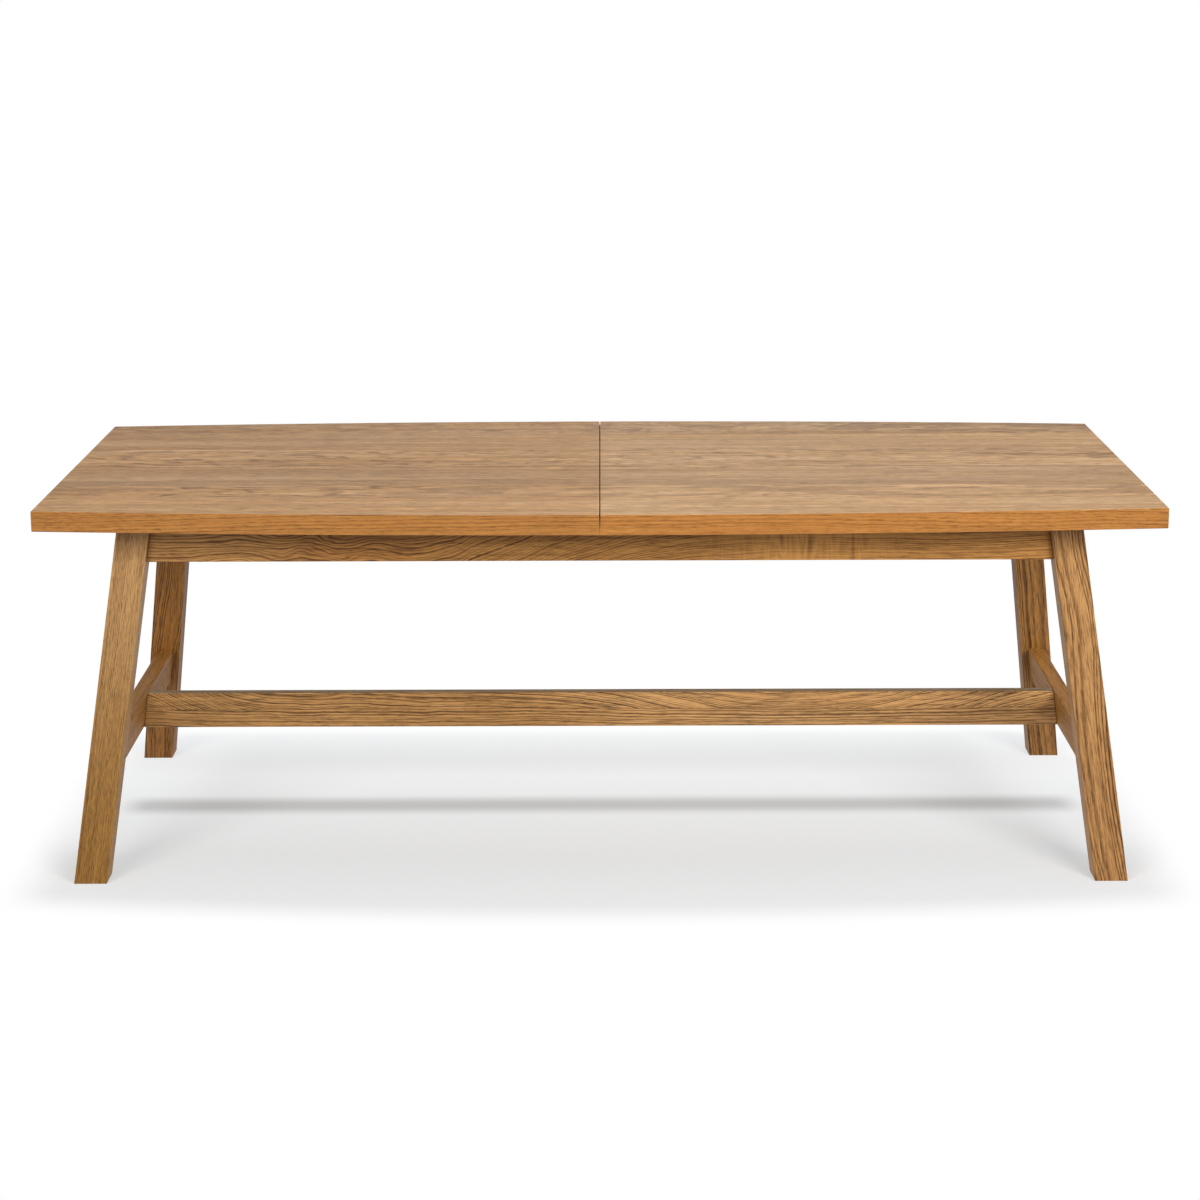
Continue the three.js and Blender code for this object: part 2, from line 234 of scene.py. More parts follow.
def oak(name, origin=(0, 0, 0), axes=((1, 0, 0), (0, 1, 0), (0, 0, 1)), light=(190, 140, 88), mid=(170, 118, 66), dark=(112, 70, 34),
        ring=0.0058, pith=(0.0, -0.05), tilt=(0.0, 0.0), sway=(0.004, 0.004), sway_rate=2.2, path=None, contrast=0.75, pores=0.5, streak=0.2, streak_at=(2.2, 62.0), dash=0.35, dash_at=(13.0, 270.0), unrest=None,
        fibre=0.5, broad=0.5, seed=0.0, boards=None, ripple=None, rough=0.5, bump=0.35, side=None, spec=0.35, jitter=0.5, fine=1.0, tint=(1.0, 1.0, 1.0)):
    """Sawn oak: growth rings about a pith that wanders along the grain, with pores, fibres and slow changes of tone."""
    t = Tree(name)
    p = t.local(origin, axes)
    x, y, z = t.split(p)
    light, mid, dark = (tuple(c * k for c, k in zip(lin(*v)[:3], tint)) + (1.0,) for v in (light, mid, dark))
    off = (seed * 3.17 + 11.3, seed * 7.31 + 4.7, seed * 1.93 + 23.1)
    cy, cz, tone, shift, hold = pith[0], pith[1], None, 0.0, 1.0
    joint = None
    if boards:
        # one row per board from the lowest up: pith y, pith z, tone, how much of the path and the unrest it follows
        v = y if boards["axis"] == 1 else z
        lo, hi = boards["range"]
        fac = t.math("MULTIPLY_ADD", v, 1.0 / (hi - lo), -lo / (hi - lo), clamp=True)
        edges = [0.0] + [(c - lo) / (hi - lo) for c in boards["cuts"]]
        packed, hold = t.ramp4(fac, [(e, (d[0] + 0.5, d[1] + 0.5, d[2] * 0.5, d[3] if len(d) > 3 else 1.0)) for e, d in zip(edges, boards["data"])], "CONSTANT")
        n = t.nt.nodes.new("ShaderNodeSeparateColor")
        t.put(n.inputs[0], packed)
        cy = t.math("SUBTRACT", n.outputs[0], 0.5)
        cz = t.math("SUBTRACT", n.outputs[1], 0.5)
        tone = t.math("MULTIPLY", n.outputs[2], 2.0)
        shift = t.math("MULTIPLY", t.math("ADD", n.outputs[0], n.outputs[1]), 173.7)
        for i, c in enumerate(boards["cuts"]):
            d = t.math("ABSOLUTE", t.math("SUBTRACT", v, c))
            line = t.math("SUBTRACT", 1.0, t.math("MULTIPLY", d, 1.0 / boards.get("line", 0.0009)), clamp=True)
            patchy = t.curve(t.noise(None, 2.0, 0.6, "1D", w=t.math("MULTIPLY_ADD", x, 4.0, i * 7.7 + seed)), [(0.36, 0.12), (0.62, 1.0)])
            line = t.math("MULTIPLY", line, patchy)
            joint = line if joint is None else t.math("MAXIMUM", joint, line)
    along = t.math("ADD", t.math("ADD", x, off[0]), shift)
    # the pith wanders along the length
    wa = t.math("SUBTRACT", t.noise(None, 2.0, 0.55, "1D", w=t.math("MULTIPLY", along, sway_rate)), 0.5)
    wb = t.math("SUBTRACT", t.noise(None, 2.0, 0.55, "1D", w=t.math("MULTIPLY_ADD", along, sway_rate * 1.13, 37.0)), 0.5)
    cy = t.math("ADD", cy, t.math("MULTIPLY_ADD", x, tilt[0], t.math("MULTIPLY", wa, 4 * sway[0])))
    cz = t.math("ADD", cz, t.math("MULTIPLY_ADD", x, tilt[1], t.math("MULTIPLY", wb, 4 * sway[1])))
    if path:  # [(x, dy, dz), ...]: where the pith runs, as steps away from its resting line
        x0, x1 = path[0][0], path[-1][0]
        pc, _ = t.ramp4(t.math("MULTIPLY_ADD", x, 1.0 / (x1 - x0), -x0 / (x1 - x0), clamp=True), [((q[0] - x0) / (x1 - x0), (q[1] + 0.5, q[2] + 0.5, 0.0, 1.0)) for q in path], "CARDINAL")
        n = t.nt.nodes.new("ShaderNodeSeparateColor")
        t.put(n.inputs[0], pc)
        cy = t.math("ADD", cy, t.math("MULTIPLY", t.math("SUBTRACT", n.outputs[0], 0.5), hold))
        cz = t.math("ADD", cz, t.math("MULTIPLY", t.math("SUBTRACT", n.outputs[1], 0.5), hold))
    # local waviness
    wav = t.xyz(t.math("MULTIPLY", along, 8.0), t.math("MULTIPLY_ADD", y, 24.0, off[1]), t.math("MULTIPLY_ADD", z, 24.0, off[2]))
    wv = t.math("SUBTRACT", t.noise(wav, 2.0, 0.5), 0.5)
    dy = t.math("SUBTRACT", y, cy)
    dz = t.math("SUBTRACT", z, cz)
    r = t.vmath("LENGTH", t.xyz(0.0, dy, dz))
    if unrest:  # (centre, half length, how much more): where the grain is disturbed
        calm = t.math("SUBTRACT", 1.0, t.math("MULTIPLY", t.math("ABSOLUTE", t.math("SUBTRACT", x, unrest[0])), 1.0 / unrest[1]), clamp=True)
        wv = t.math("MULTIPLY", wv, t.math("MULTIPLY_ADD", t.math("MULTIPLY", calm, hold), unrest[2], 1.0))
    r = t.math("MULTIPLY_ADD", wv, 0.010 * jitter, r)
    u = t.math("MULTIPLY", r, 1.0 / ring)
    u = t.math("ADD", u, t.math("MULTIPLY", t.noise(None, 1.0, 0.5, "1D", w=t.math("MULTIPLY_ADD", u, 0.43, seed * 5.1)), 2.2))
    tiny = t.xyz(t.math("MULTIPLY", along, 22.0), t.math("MULTIPLY_ADD", y, 230.0, off[2]), t.math("MULTIPLY_ADD", z, 230.0, off[1]))
    u = t.math("ADD", u, t.math("MULTIPLY", t.noise(tiny, 2.0, 0.65), 0.24))
    fr = t.math("FRACT", u)
    early = t.curve(fr, [(0.0, 0.60), (0.05, 1.0), (0.22, 0.95), (0.34, 0.35), (0.50, 0.10), (0.82, 0.0), (0.94, 0.08), (1.0, 0.60)])
    each = t.math("MULTIPLY_ADD", t.white(t.math("FLOOR", u)), 0.7, 0.45)
    early = t.math("MULTIPLY", early, each)
    # pores: short dark dashes, thickest in the early wood
    pv = t.xyz(t.math("MULTIPLY", along, 34.0 * fine), t.math("MULTIPLY_ADD", y, 420.0 * fine, off[0]), t.math("MULTIPLY_ADD", z, 420.0 * fine, off[1]))
    pore = t.curve(t.noise(pv, 3.0, 0.7), [(0.50, 0.0), (0.60, 0.8), (0.70, 1.0)])
    pore = t.math("MULTIPLY", pore, t.math("MULTIPLY_ADD", early, 0.55, 0.45))
    # fibres, streaks a few millimetres wide, and the slow change of tone across a board
    fv = t.xyz(t.math("MULTIPLY", along, 9.0), t.math("MULTIPLY_ADD", y, 260.0, off[1]), t.math("MULTIPLY_ADD", z, 260.0, off[2]))
    fn = t.noise(fv, 3.0, 0.65)
    sv = t.xyz(t.math("MULTIPLY", along, streak_at[0]), t.math("MULTIPLY_ADD", y, streak_at[1], off[0]), t.math("MULTIPLY_ADD", z, streak_at[1], off[2]))
    sn = t.noise(sv, 4.0, 0.66)
    bv = t.xyz(t.math("MULTIPLY", along, 1.5), t.math("MULTIPLY_ADD", y, 18.0, off[2]), t.math("MULTIPLY_ADD", z, 18.0, off[0]))
    bn = t.noise(bv, 3.0, 0.55)
    body = t.math("ADD", t.math("MULTIPLY", t.math("SUBTRACT", fn, 0.5), fibre * 2.4), t.math("MULTIPLY", t.math("SUBTRACT", bn, 0.5), broad * 2.4))
    col = t.mix(t.math("ADD", body, 0.45, clamp=True), light, mid)
    col = t.mix(t.math("MULTIPLY", early, contrast, clamp=True), col, dark)
    deep = t.curve(sn, [(0.49, 0.0), (0.57, 0.6), (0.68, 1.0)])
    col = t.mix(t.math("MULTIPLY", deep, streak, clamp=True), col, dark)
    pale = t.curve(sn, [(0.34, 1.0), (0.46, 0.0)])
    col = t.mix(t.math("MULTIPLY", pale, streak, clamp=True), col, tuple(min(1.0, c * 1.25) for c in light[:3]) + (1.0,))
    dv = t.xyz(t.math("MULTIPLY", along, dash_at[0]), t.math("MULTIPLY_ADD", y, dash_at[1], off[1]), t.math("MULTIPLY_ADD", z, dash_at[1], off[0]))
    mark = t.curve(t.noise(dv, 2.0, 0.6), [(0.55, 0.0), (0.61, 0.8), (0.68, 1.0)])
    col = t.mix(t.math("MULTIPLY", mark, dash, clamp=True), col, tuple(c * 0.7 for c in dark[:3]) + (1.0,))
    col = t.mix(t.math("MULTIPLY", pore, pores, clamp=True), col, tuple(c * 0.5 for c in dark[:3]) + (1.0,))
    if ripple:  # (centre, half width, rate, strength): curl figure across the grain
        mask = t.math("SUBTRACT", 1.0, t.math("MULTIPLY", t.math("ABSOLUTE", t.math("SUBTRACT", x, ripple[0])), 1.0 / ripple[1]), clamp=True)
        rv = t.xyz(t.math("MULTIPLY", x, ripple[2]), t.math("MULTIPLY", y, 4.0), t.math("MULTIPLY", z, 7.0))
        rn = t.noise(rv, 1.0, 0.4)
        rp = t.curve(rn, [(0.36, 0.0), (0.52, 0.8), (0.60, 0.25), (0.7, 1.0)])
        rp = t.math("MULTIPLY", t.math("MULTIPLY", rp, mask), ripple[3])
        col = t.mix(rp, col, tuple(min(1.0, c * 1.3) for c in light[:3]) + (1.0,))
        rq = t.math("MULTIPLY", t.math("MULTIPLY", t.curve(rn, [(0.30, 1.0), (0.44, 0.0)]), mask), ripple[3])
        col = t.mix(rq, col, dark)
    if tone is not None:
        n = t.nt.nodes.new("ShaderNodeCombineColor")
        for s in n.inputs:
            t.put(s, tone)
        col = t.mix(1.0, col, n.outputs[0], "MULTIPLY")
        col = t.mix(t.math("MULTIPLY", joint, boards.get("depth", 0.6)), col, tuple(c * 0.6 for c in dark[:3]) + (1.0,))
    for turn in side if isinstance(side, list) else [side] if side else []:  # (centre, half width, colour multiplier): slow change of tone along the piece
        s = t.math("MULTIPLY_ADD", t.math("TANH", t.math("MULTIPLY_ADD", x, 1.0 / turn[1], -turn[0] / turn[1])), 0.5, 0.5)
        col = t.mix(s, col, t.mix(1.0, col, (*turn[2], 1.0), "MULTIPLY"))
    t.put(t.bsdf.inputs["Base Color"], col)
    rg = t.math("ADD", t.math("MULTIPLY", pore, 0.16), t.math("MULTIPLY_ADD", t.math("SUBTRACT", bn, 0.5), 0.22, rough), clamp=True)
    t.put(t.bsdf.inputs["Roughness"], rg)
    t.bsdf.inputs["IOR"].default_value = 1.48
    t.bsdf.inputs["Specular IOR Level"].default_value = spec
    h = t.math("ADD", t.math("MULTIPLY", pore, -0.8), t.math("MULTIPLY_ADD", early, -0.3, t.math("MULTIPLY", fn, 0.25)))
    if joint is not None:
        h = t.math("MULTIPLY_ADD", joint, -1.2, h)
    b = t.nt.nodes.new("ShaderNodeBump")
    b.inputs["Strength"].default_value = bump
    b.inputs["Distance"].default_value = 0.00035
    t.put(b.inputs["Height"], h)
    t.put(t.bsdf.inputs["Normal"], b.outputs[0])
    return t.mat


def metal(name, colour, rough=0.35, brushed=(1, 1, 1), scale=900.0, strength=0.12, tint=0.12):
    t = Tree(name)
    tc = t.nt.nodes.new("ShaderNodeTexCoord").outputs["Object"]
    v = t.vmath("MULTIPLY", tc, tuple(scale * b for b in brushed))
    n1 = t.noise(v, 3.0, 0.6)
    n2 = t.noise(t.vmath("MULTIPLY", tc, (60.0, 60.0, 60.0)), 3.0, 0.6)
    c = lin(*colour)
    col = t.mix(t.math("MULTIPLY", n2, tint * 2), c, tuple(v * 0.72 for v in c[:3]) + (1.0,))
    t.put(t.bsdf.inputs["Base Color"], col)
    t.bsdf.inputs["Metallic"].default_value = 1.0
    t.put(t.bsdf.inputs["Roughness"], t.math("MULTIPLY_ADD", t.math("SUBTRACT", n1, 0.5), 0.25, rough, clamp=True))
    b = t.nt.nodes.new("ShaderNodeBump")
    b.inputs["Strength"].default_value = strength
    b.inputs["Distance"].default_value = 0.0001
    t.put(b.inputs["Height"], n1)
    t.put(t.bsdf.inputs["Normal"], b.outputs[0])
    return t.mat


def plastic(name, colour, rough=0.45):
    t = Tree(name)
    tc = t.nt.nodes.new("ShaderNodeTexCoord").outputs["Object"]
    n1 = t.noise(t.vmath("MULTIPLY", tc, (1400.0, 1400.0, 1400.0)), 2.0, 0.5)
    n2 = t.noise(t.vmath("MULTIPLY", tc, (35.0, 35.0, 35.0)), 3.0, 0.6)
    c = lin(*colour)
    t.put(t.bsdf.inputs["Base Color"], t.mix(n2, c, tuple(v * 0.86 for v in c[:3]) + (1.0,)))
    t.put(t.bsdf.inputs["Roughness"], t.math("MULTIPLY_ADD", n1, 0.2, rough - 0.1, clamp=True))
    b = t.nt.nodes.new("ShaderNodeBump")
    b.inputs["Strength"].default_value = 0.12
    b.inputs["Distance"].default_value = 0.0001
    t.put(b.inputs["Height"], n1)
    t.put(t.bsdf.inputs["Normal"], b.outputs[0])
    return t.mat


def dress(ob, mat):
    ob.data.materials.clear()
    ob.data.materials.append(mat)
    for p in ob.data.polygons:
        p.material_index = 0


# ------------------------------------------------------------------ the top
def on_rim(*points):
    return all(abs(abs(q.y) - bow(q.x)) < 4e-4 or abs(q.x) > LENGTH / 2 - 4e-4 or abs(q.x) < 1.4e-3 for q in points)


def at_seam(*points):
    return all(abs(q.x) < 1.4e-3 for q in points)


def crown(ob):
    ob.data.materials.append(top_oak)
    for q in ob.data.polygons:
        if q.normal.z > 0.8:
            q.material_index = 1


TOP_BOARDS = {
    "axis": 1, "range": (-0.545, 0.545), "cuts": [-0.370, -0.235, -0.056, 0.182, 0.365], "line": 0.0016, "depth": 0.6,
    "data": [(-0.30, -0.16, 1.03, 0.0), (-0.29, -0.40, 0.98, 0.2), (0.08, -0.12, 0.84, 0.0), (0.09, -0.44, 0.98, 0.5), (0.47, -0.12, 0.97, 0.0), (0.45, -0.46, 0.90, 1.0)],
}
TOP = dict(light=(184, 140, 92), mid=(164, 118, 72), dark=(112, 76, 42))
# the second turn in side darkens the top's left end by 8%: painted shade for the darker look the lighting gives that
# end
top_oak = oak("top_oak", origin=(0, 0, 0.75), **TOP, ring=0.0050, sway=(0.004, 0.004), sway_rate=1.6, tilt=(0.004, 0.004), contrast=0.74, pores=0.9, streak=0.38, streak_at=(1.2, 52.0), dash=0.60, dash_at=(15.0, 270.0), fibre=1.0, broad=0.6,
              seed=1.0, boards=TOP_BOARDS, rough=0.44, bump=0.3, side=[(0.0, 0.01, (1.09, 1.17, 1.35)), (-0.42, -0.16, (0.92, 0.92, 0.92))], jitter=0.9, unrest=(0.05, 1.5, 3.0), tint=(1.00, 1.05, 1.05))
EDGE = dict(light=(190, 124, 64), mid=(170, 104, 48), dark=(122, 70, 30))
edge_args = dict(tint=(0.72, 0.81, 0.74), ring=0.0048, sway=(0.002, 0.003), contrast=0.66, pores=0.7, streak=0.10, dash=0.24, dash_at=(50.0, 560.0), fibre=0.8, broad=0.3, rough=0.44, bump=0.25, jitter=0.2)
edge_front = oak("edge_oak_front", origin=(0, -0.53, 0.74), **EDGE, **edge_args, pith=(0.10, 0.20), tilt=(0.0, 0.006), seed=3.0, side=(0.0, 0.01, (1.10, 1.07, 1.02)))
edge_rear = oak("edge_oak_rear", origin=(0, 0.53, 0.74), **EDGE, **edge_args, pith=(-0.10, 0.22), tilt=(0.0, -0.006), seed=4.0, side=(0.0, 0.01, (1.10, 1.07, 1.02)))
edge_end = oak("edge_oak_end", origin=(0, 0, 0.74), axes=((0, 1, 0), (-1, 0, 0), (0, 0, 1)), **EDGE, **edge_args, pith=(0.03, 1.25), tilt=(0.0, 0.010), seed=5.0)
for side in ("left", "right"):
    panel = ease(f"top_panel_{side}", 0.0014, 3, lambda a, b: at_seam(a, b) and abs(a.z - b.z) < 1e-5 and (a.z > TOP_Z - 1e-4 or a.z < UNDER_Z + 1e-4) and abs(a.y - b.y) > 0.2)
    dress(panel, top_oak)
    for end in ("front", "rear"):
        lip = ease(f"lipping_{end}_{side}", 0.0014, 3, on_rim)
        dress(lip, edge_front if end == "front" else edge_rear)
        crown(lip)
    lip = ease(f"lipping_end_{side}", 0.0014, 3, lambda a, b: abs(a.x) > LENGTH / 2 - 4e-4 and abs(b.x) > LENGTH / 2 - 4e-4 and abs(a.z - b.z) < 1e-5)
    dress(lip, edge_end)
    crown(lip)

# ------------------------------------------------------------------ legs
V_LEG = [(0.0, 0.006, 0.0), (0.12, -0.004, 0.0), (0.26, 0.010, 0.0), (0.42, 0.000, 0.0), (0.60, -0.012, 0.0), (0.80, -0.006, 0.0)]
LEGS = {
    ("front", "left"): dict(light=(186, 144, 94), mid=(166, 122, 74), dark=(104, 68, 36), seed=11.0, pith=(0.20, 0.08), side=(0.42, 0.22, (0.59, 0.50, 0.24)), tint=(0.90, 0.93, 0.95), ring=0.0032, contrast=0.50, jitter=0.12, dash=0.34, fine=1.5),
    ("front", "right"): dict(light=(186, 144, 94), mid=(166, 122, 74), dark=(88, 54, 26), seed=12.0, pith=(-0.05, 0.08), tint=(0.88, 0.83, 0.74), side=(0.50, 0.12, (0.85, 0.82, 0.78)), ring=0.0044, contrast=1.0, jitter=0.3, path=V_LEG),
    ("rear", "left"): dict(light=(164, 118, 70), mid=(142, 98, 54), dark=(66, 38, 16), seed=13.0, pith=(0.006, 0.050), tint=(0.74, 0.65, 0.39), ring=0.0044, contrast=1.0, jitter=0.5, path=V_LEG),
    ("rear", "right"): dict(light=(172, 126, 78), mid=(150, 106, 60), dark=(74, 44, 20), seed=14.0, pith=(0.04, 0.14), tint=(0.79, 0.73, 0.53), ring=0.0044, contrast=1.0, jitter=0.3),
}
for (end, side), look in LEGS.items():
    sx, sy = (-1 if side == "left" else 1), (-1 if end == "front" else 1)
    ax = Vector((sx * KX, sy * KY, -1.0)).normalized()
    ay = Vector((1, 0, 0)) - ax * ax.x
    ay.normalize()
    az = ax.cross(ay)
    look["pith"] = (look["pith"][0], look["pith"][1] * (1 if az.y * sy < 0 else -1))  # the heart lies towards the table's middle
    look = {**dict(tilt=(0.006, 0.008), sway=(0.002, 0.002), sway_rate=1.5, pores=1.0, streak=0.14, dash=0.55, dash_at=(22.0, 420.0), fibre=1.0, broad=0.35, rough=0.48, bump=0.3), **look}
    mat = oak(f"leg_oak_{end}_{side}", origin=(sx * LEG_X, sy * LEG_Y, TOP_Z), axes=(tuple(ax), tuple(ay), tuple(az)), **look)
    leg = ease(f"leg_{end}_{side}", 0.0022, 3, lambda a, b: (a - b).length > 0.03)
    dress(leg, mat)

# ------------------------------------------------------------------ rails
RAIL = dict(tint=(1.10, 1.06, 0.78), light=(178, 132, 82), mid=(156, 110, 64), dark=(64, 38, 18))
APRON_PATH = [(-0.95, 0.004, 0.030), (-0.82, 0.000, 0.030), (-0.72, 0.010, 0.034), (-0.64, -0.002, 0.028), (-0.57, 0.006, 0.030), (-0.52, -0.014, 0.022), (-0.46, 0.004, 0.022),
              (-0.40, -0.006, 0.018), (-0.33, 0.000, 0.024), (-0.26, 0.004, 0.048), (-0.12, 0.012, 0.100), (0.02, 0.02, 0.150), (0.16, 0.02, 0.180), (0.30, 0.02, 0.192), (0.45, 0.02, 0.194), (0.70, 0.02, 0.190), (0.95, 0.02, 0.200)]
apron_front = oak("apron_oak_front", origin=(0, -0.318, 0.672), **{**RAIL, "dark": (88, 56, 30), "tint": (1.11, 1.125, 0.99)}, ring=0.0060, pith=(0.012, 0.0), path=APRON_PATH, sway=(0.001, 0.001), sway_rate=5.0, unrest=(-0.56, 0.30, 6.0),
                  contrast=0.95, pores=0.8, streak=0.25, dash=0.4, fibre=0.8, broad=0.6, seed=21.0, side=[(-0.63, 0.05, (0.832, 0.736, 0.619)), (-0.36, 0.05, (1.13, 1.21, 1.22)), (0.52, 0.10, (1.131, 1.124, 1.139))], ripple=(0.40, 0.22, 46.0, 0.75), rough=0.5, bump=0.3, jitter=0.7)
apron_rear = oak("apron_oak_rear", origin=(0, 0.318, 0.672), **RAIL, ring=0.0060, pith=(-0.02, 0.04), path=[(-0.95, 0, 0.12), (-0.4, 0.0, 0.10), (0.1, 0.01, -0.01), (0.5, -0.01, -0.03), (0.95, 0, 0.02)],
                 sway=(0.004, 0.004), sway_rate=3.0, contrast=0.8, pores=0.6, streak=0.3, fibre=0.6, broad=0.5, seed=22.0, rough=0.5, bump=0.3, jitter=0.7)
for end, mat in (("front", apron_front), ("rear", apron_rear)):
    dress(ease(f"apron_{end}", 0.0016, 3), mat)
for side, seed in (("left", 31.0), ("right", 32.0)):
    sx = -1 if side == "left" else 1
    ax = ((0, 1, 0), (-1, 0, 0), (0, 0, 1))
    dress(ease(f"end_rail_{side}", 0.0016, 3), oak(f"end_rail_oak_{side}", origin=(sx * 0.93, 0, 0.67), axes=ax, **RAIL, ring=0.0055, pith=(sx * 0.03, 0.05), tilt=(0, 0.03), sway=(0.004, 0.005), contrast=0.75, pores=0.6, seed=seed, bump=0.3))
    dress(ease(f"cross_rail_{side}", 0.0018, 3), oak(f"cross_rail_oak_{side}", origin=(sx * 0.988, 0, 0.23), axes=ax, tint=(0.54, 0.47, 0.29) if side == "left" else (0.67, 0.58, 0.34), spec=0.2, light=(178, 134, 86), mid=(158, 114, 68), dark=(108, 72, 38), ring=0.0058, pith=(-sx * 0.05, -0.06), tilt=(0, 0.04),
                                                     sway=(0.004, 0.004), contrast=0.5, pores=0.5, seed=seed + 4, bump=0.3))
STRETCH = {"axis": 2, "range": (-0.04, 0.04), "cuts": [0.0015], "line": 0.0009, "depth": 0.8, "data": [(0.05, -0.16, 1.0, 0.10), (0.010, -0.24, 1.03, 1.0)]}
STRETCH_PATH = [(-1.0, 0.0, 0.120), (-0.92, 0.0, 0.086), (-0.82, 0.0, 0.040), (-0.74, 0.0, 0.016), (-0.62, 0.0, 0.008), (-0.50, 0.0, 0.010), (-0.38, 0.0, 0.002), (-0.22, 0.0, 0.002), (-0.05, 0.0, -0.008),
                (0.08, 0.0, -0.032), (0.22, 0.0, -0.066), (0.36, 0.0, -0.084), (0.50, 0.0, -0.080), (0.65, 0.0, -0.054), (0.82, 0.0, -0.010), (1.0, 0.0, 0.038)]
stretcher_oak = oak("stretcher_oak", origin=(0, 0, 0.2305), tint=(0.90, 0.89, 0.775), light=(184, 140, 90), mid=(158, 112, 66), dark=(62, 36, 16), ring=0.0056, path=STRETCH_PATH, sway=(0.001, 0.002), sway_rate=3.5, unrest=(-0.55, 0.30, 3.0),
                    contrast=1.0, pores=0.8, streak=0.25, dash=0.4, side=(0.0, 0.12, (1.21, 1.26, 1.41)), fibre=0.8, broad=0.5, seed=41.0, boards=STRETCH, rough=0.5, bump=0.3, jitter=0.5)
beam = ease("stretcher", 0.0018, 3)
dress(beam, stretcher_oak)
# painted shade: the stretcher's upward faces get a darker, greyer oak, as the table top above shades them
beam.data.materials.append(oak("stretcher_top_painted_shade_oak", origin=(0, 0, 0.2305), tint=(0.50, 0.58, 0.66), light=(176, 140, 100), mid=(156, 120, 84), dark=(98, 70, 44), ring=0.0056, pith=(0.06, -0.20), contrast=0.6, pores=0.7, fibre=0.7, seed=42.0, rough=0.6, bump=0.3))
for q in beam.data.polygons:
    if q.normal.z > 0.8:
        q.material_index = 1

# ------------------------------------------------------------------ inside timber
INNER = dict(light=(214, 178, 130), mid=(198, 160, 112), dark=(158, 118, 74))


def inner(name, seed, axes=((1, 0, 0), (0, 1, 0), (0, 0, 1)), **kw):
    args = dict(ring=0.0035, pith=(0.05, 0.1), contrast=0.35, pores=0.25, streak=0.15, fibre=0.4, broad=0.4, rough=0.62, bump=0.25, sway=(0.003, 0.003))
    args.update(kw)
    return oak(name, axes=axes, seed=seed, **INNER, **args)


beech_x = inner("beech_long", 51.0)
beech_y = inner("beech_cross", 52.0, axes=((0, 1, 0), (-1, 0, 0), (0, 0, 1)))
beech_runner = inner("beech_runner", 53.0, pith=(0.3, 0.65))
for n in ("bearer_left", "bearer_centre", "bearer_right"):
    dress(ease(n, 0.0014, 2, lambda a, b: (a - b).length > 0.015), beech_y)
for end in ("front", "rear"):
    dress(ease(f"slide_beam_{end}", 0.0007, 2, lambda a, b: (a - b).length > 0.3), beech_x)
    dress(ease(f"leaf_ledge_{end}", 0.0012, 2, lambda a, b: (a - b).length > 0.012), beech_x)
    for side in ("left", "right"):
        dress(ease(f"runner_{end}_{side}", 0.0006, 2, lambda a, b: (a - b).length > 0.2), beech_runner)
        dress(ease(f"corner_block_{end}_{side}", 0.0014, 2, lambda a, b: (a - b).length > 0.03), beech_y)
for n in ("dowel_front", "dowel_rear"):
    dress(ease(n, 0.0010, 2), beech_x)
for n in ("leaf_dowel_left", "leaf_dowel_right"):
    dress(ease(n, 0.0010, 2), beech_y)
LEAF_BOARDS = {"axis": 1, "range": (-0.27, 0.27), "cuts": [-0.09, 0.08], "line": 0.0011, "depth": 0.55, "data": [(-0.17, 0.05, 1.0), (0.0, 0.09, 0.94), (0.17, 0.04, 1.02)]}
leaf_oak = oak("leaf_oak", origin=(0, 0, 0.637), **TOP, ring=0.0050, sway=(0.004, 0.004), sway_rate=1.6, tilt=(0.004, 0.004), contrast=0.70, pores=0.9, streak=0.34, streak_at=(1.2, 52.0), dash=0.50, dash_at=(8.0, 210.0), fibre=0.9, broad=0.6,
               seed=6.0, boards=LEAF_BOARDS, rough=0.44, bump=0.3, jitter=0.7)
dress(ease("leaf", 0.0012, 3, lambda a, b: (a - b).length > 0.03), leaf_oak)

# ------------------------------------------------------------------ hardware
zinc = metal("zinc_steel", (186, 188, 190), 0.34)
brass = metal("satin_brass", (196, 160, 92), 0.32, brushed=(1, 0.08, 1))
nylon = plastic("nylon", (224, 220, 208))
for end in ("front", "rear"):
    dress(ease(f"pinion_axle_{end}", 0.0005, 2), zinc)
    dress(ease(f"pinion_{end}", 0.0004, 2, lambda a, b: abs(a.z - b.z) < 1e-5), nylon)
    for side in ("left", "right"):
        dress(ease(f"rack_{end}_{side}", 0.0003, 2, lambda a, b: abs(a.z - b.z) < 1e-5), nylon)
        dress(ease(f"corner_bolt_{end}_{side}", 0.0004, 2), zinc)
for side in ("left", "right"):
    dress(ease(f"turn_button_{side}", 0.0009, 3, lambda a, b: abs(a.z - b.z) < 1e-5), brass)
    dress(ease(f"button_screw_{side}", 0.0006, 2), zinc)
dress(ease("latch_base", 0.0006, 2), zinc)
dress(ease("latch_keeper", 0.0006, 2), zinc)
dress(ease("latch_lever", 0.0006, 2), brass)

# ------------------------------------------------------------------ stage
def smooth(t, v, a, b):
    n = t.nt.nodes.new("ShaderNodeMapRange")
    n.interpolation_type = "SMOOTHSTEP"
    t.put(n.inputs["Value"], v)
    n.inputs["From Min"].default_value, n.inputs["From Max"].default_value = a, b
    return n.outputs[0]


